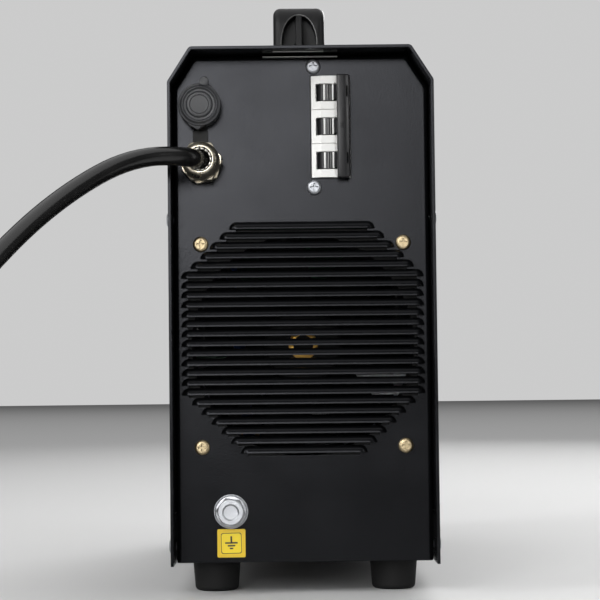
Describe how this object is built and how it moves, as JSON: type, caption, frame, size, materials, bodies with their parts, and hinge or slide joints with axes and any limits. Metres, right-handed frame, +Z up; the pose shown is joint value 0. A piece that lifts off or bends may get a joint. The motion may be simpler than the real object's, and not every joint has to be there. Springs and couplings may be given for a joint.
{
  "type": "plasma cutter unit",
  "caption": "Upright plasma cutting power source with a louvred rear panel, fan, mains breaker, capped air inlet, cable gland and cord, earth bolt, carrying handle and rubber feet.",
  "frame": {"origin": "on the floor under the middle of the machine, measured without the mains cord", "axes": "+Z up, +Y towards the front with the controls, -Y towards the louvred rear panel, +X to the right seen from the rear"},
  "size_m": [0.3829, 0.6115, 0.318],
  "materials": {
    "case_paint": "black textured powder coat, semi-gloss",
    "handle_plastic": "black moulded nylon, fine grain",
    "foot_rubber": "black moulded rubber",
    "cap_rubber": "charcoal grey moulded rubber",
    "zinc_steel": "bright zinc plate",
    "yellow_zinc": "yellow passivated zinc plate",
    "bolt_zinc": "bright zinc plate",
    "gland_nickel": "nickel plated brass",
    "claw_steel": "bright spring steel",
    "breaker_shell": "off-white moulded thermoset",
    "breaker_black": "black moulded plastic, glossy",
    "tie_bar_plastic": "black moulded plastic",
    "fan_plastic": "black moulded plastic",
    "brass": "machined brass",
    "aluminium": "extruded aluminium",
    "board_green": "green solder mask",
    "core_steel": "laminated core, varnished",
    "winding_copper": "enamelled copper",
    "capacitor_sleeve": "dark blue shrink sleeve",
    "label_yellow": "printed yellow foil",
    "cord_jacket": "black glossy jacket",
    "fascia_plastic": "dark grey moulded plastic",
    "display_smoke": "smoked red acrylic",
    "lamp_red": "tinted lamp lens",
    "knob_plastic": "black moulded plastic with white line",
    "button_green": "green moulded plastic",
    "socket_plastic": "black moulded plastic",
    "hose_blue": "blue polyurethane hose",
    "valve_coil": "black potted coil",
    "bearing_steel": "ground bearing steel"
  },
  "bodies": {
    "case": {"cover": "case_paint", "rear_panel": "case_paint", "front_panel": "case_paint", "base_pan": "case_paint", "handle": "handle_plastic", "handle_screws": "zinc_steel", "foot_rear_left": "foot_rubber", "foot_rear_right": "foot_rubber", "foot_front_left": "foot_rubber", "foot_front_right": "foot_rubber", "foot_screws": "zinc_steel", "cover_screws": "zinc_steel", "fan_frame": "fan_plastic", "fan_bearings": "bearing_steel", "fan_screws": "yellow_zinc", "fan_nuts": "zinc_steel", "breaker_pole_lower": "breaker_shell", "breaker_pole_middle": "breaker_shell", "breaker_pole_upper": "breaker_shell", "breaker_bracket": "zinc_steel", "breaker_screws": "zinc_steel", "air_inlet_fitting": "brass", "air_inlet_nut": "brass", "port_cap_strap": "cap_rubber", "gland_body": "gland_nickel", "gland_nut": "gland_nickel", "gland_seal": "foot_rubber", "gland_claw": "claw_steel", "gland_locknut": "gland_nickel", "power_cord": "cord_jacket", "cord_coil": "cord_jacket", "cord_plug": "cord_jacket", "ground_bolt": "bolt_zinc", "ground_washer": "bolt_zinc", "ground_nut": "zinc_steel", "earth_label": "label_yellow", "control_fascia": "fascia_plastic", "display_window": "display_smoke", "indicator_lamps": "lamp_red", "potentiometer": "zinc_steel", "torch_connector": "brass", "torch_connector_nut": "brass", "trigger_socket": "zinc_steel", "work_socket": "socket_plastic", "heatsink_left": "aluminium", "heatsink_right": "aluminium", "power_board": "board_green", "control_board": "board_green", "transformer_core": "core_steel", "transformer_winding": "winding_copper", "capacitors": "capacitor_sleeve", "solenoid_valve": "valve_coil", "air_hose": "hose_blue"},
    "fan_rotor": {"fan_rotor": "fan_plastic"},
    "breaker_lever": {"breaker_toggles": "breaker_black", "breaker_tie_bar": "tie_bar_plastic"},
    "port_cap": {"port_cap": "cap_rubber"},
    "current_knob": {"current_knob": "knob_plastic"},
    "mode_rocker": {"mode_rocker": "breaker_black"},
    "air_test_button": {"air_test_button": "button_green"}
  },
  "joints": [
    {"name": "fan_spin", "type": "hinge", "parent": "case", "child": "fan_rotor", "pos_m": [0, -0.1548, 0.1277], "axis": [0, 1, 0], "continuous": true},
    {"name": "breaker_throw", "type": "hinge", "parent": "case", "child": "breaker_lever", "pos_m": [0.014, -0.1712, 0.2407], "axis": [0, 0, 1], "range_deg": [-76, 0]},
    {"name": "port_cap_fold", "type": "hinge", "parent": "case", "child": "port_cap", "pos_m": [-0.0521, -0.1755, 0.2398], "axis": [1, 0, 0], "range_deg": [0, 75]},
    {"name": "current_knob_turn", "type": "hinge", "parent": "case", "child": "current_knob", "pos_m": [-0.022, 0.178, 0.204], "axis": [0, 1, 0], "range_deg": [-135, 135]},
    {"name": "mode_rocker_tilt", "type": "hinge", "parent": "case", "child": "mode_rocker", "pos_m": [0.036, 0.171, 0.242], "axis": [1, 0, 0], "range_deg": [0, 16]},
    {"name": "air_test_press", "type": "slide", "parent": "case", "child": "air_test_button", "axis": [0, -1, 0], "range_m": [0, 0.0025], "stiffness_N_per_m": 300}
  ]
}
